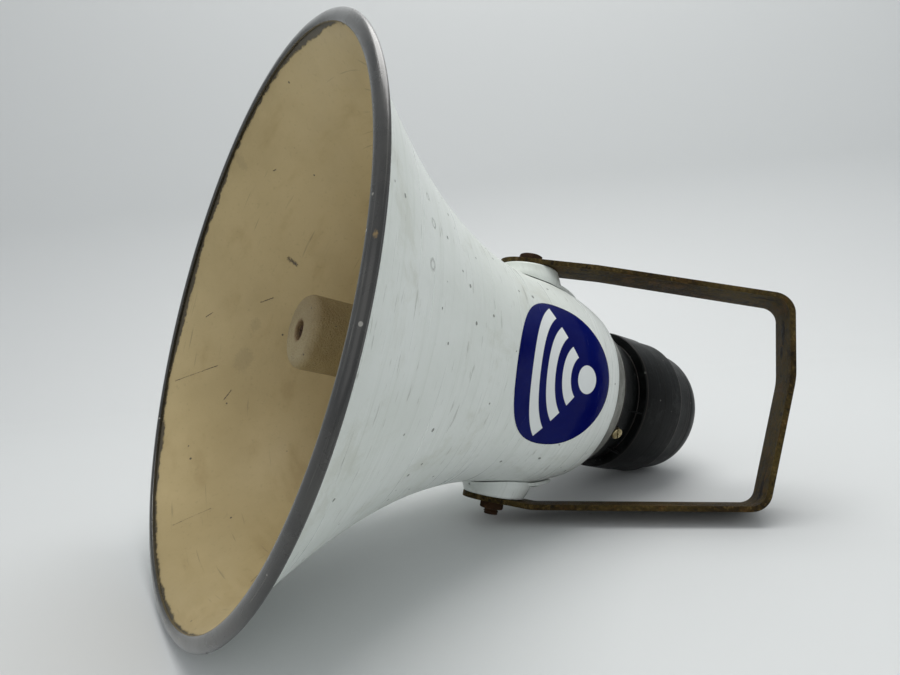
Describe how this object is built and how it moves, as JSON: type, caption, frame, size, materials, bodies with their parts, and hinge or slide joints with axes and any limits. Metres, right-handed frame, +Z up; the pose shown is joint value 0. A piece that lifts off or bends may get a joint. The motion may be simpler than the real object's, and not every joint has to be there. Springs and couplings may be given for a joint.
{
  "type": "horn loudspeaker",
  "caption": "Folded horn loudspeaker: a flared bell with an inner reflector, a round screw-on driver behind it and a swivelling U-shaped yoke of flat strap.",
  "frame": {"origin": "on the surface the part lies on, below the middle of its box", "axes": "+Z up from that surface, +Y from the mouth towards the driver along the floor, and +X to the side towards which the yoke is swung"},
  "size_m": [0.3102, 0.3692, 0.292],
  "materials": {
    "white_paint": "aged brushed white enamel outside, worn tan paint inside the bell",
    "tan_paint": "aged tan enamel, speckled",
    "grey_rubber": "dark grey, glossy with fine scuffs",
    "cast_aluminium": "as cast",
    "bare_metal": "turned, dulled grey",
    "black_phenolic": "moulded black phenolic, satin",
    "rusty_steel": "mild steel with an even dark brown rust",
    "dull_steel": "dull plated steel",
    "brass": "tarnished",
    "copper": "enamelled copper wire",
    "magnet": "sintered magnet, dark grey",
    "phenolic_cloth": "impregnated cloth, brown",
    "gasket": "cork and rubber sheet"
  },
  "bodies": {
    "horn": {"bell": "white_paint", "boss_upper": "white_paint", "boss_lower": "white_paint", "rivet_upper_left": "white_paint", "rivet_upper_right": "white_paint", "rivet_lower_left": "white_paint", "rivet_lower_right": "white_paint", "reflector": "tan_paint", "rim_trim": "grey_rubber", "tone_arm": "cast_aluminium", "reflector_spider": "cast_aluminium", "throat_plate": "cast_aluminium", "rear_collar": "bare_metal", "front_housing": "black_phenolic", "phasing_plug": "black_phenolic", "clamp_ring": "black_phenolic", "magnet_ring": "black_phenolic", "rear_cover": "black_phenolic", "bolt_upper": "rusty_steel", "stud_lower": "rusty_steel", "nut_lower": "rusty_steel", "reflector_screw": "rusty_steel", "plate_screw_1": "dull_steel", "plate_screw_2": "dull_steel", "plate_screw_3": "dull_steel", "cover_screw": "dull_steel", "top_plate": "dull_steel", "pole_piece": "dull_steel", "back_plate": "dull_steel", "terminal_screw_1": "brass", "terminal_screw_2": "brass", "magnet": "magnet", "surround": "phenolic_cloth", "collar_gasket": "gasket", "throat_gasket": "gasket"},
    "yoke": {"yoke": "rusty_steel"},
    "moving_coil": {"diaphragm": "phenolic_cloth", "voice_coil": "copper"}
  },
  "joints": [
    {"name": "yoke_swing", "type": "hinge", "parent": "horn", "child": "yoke", "pos_m": [0, 0.03927, 0.08493], "axis": [-0.0695, 0.3387, 0.9383], "range_deg": [-84, 176]},
    {"name": "diaphragm_travel", "type": "slide", "parent": "horn", "child": "moving_coil", "axis": [0, 0.9406, -0.3395], "range_m": [-0.0003, 0.0003], "stiffness_N_per_m": 9500}
  ]
}
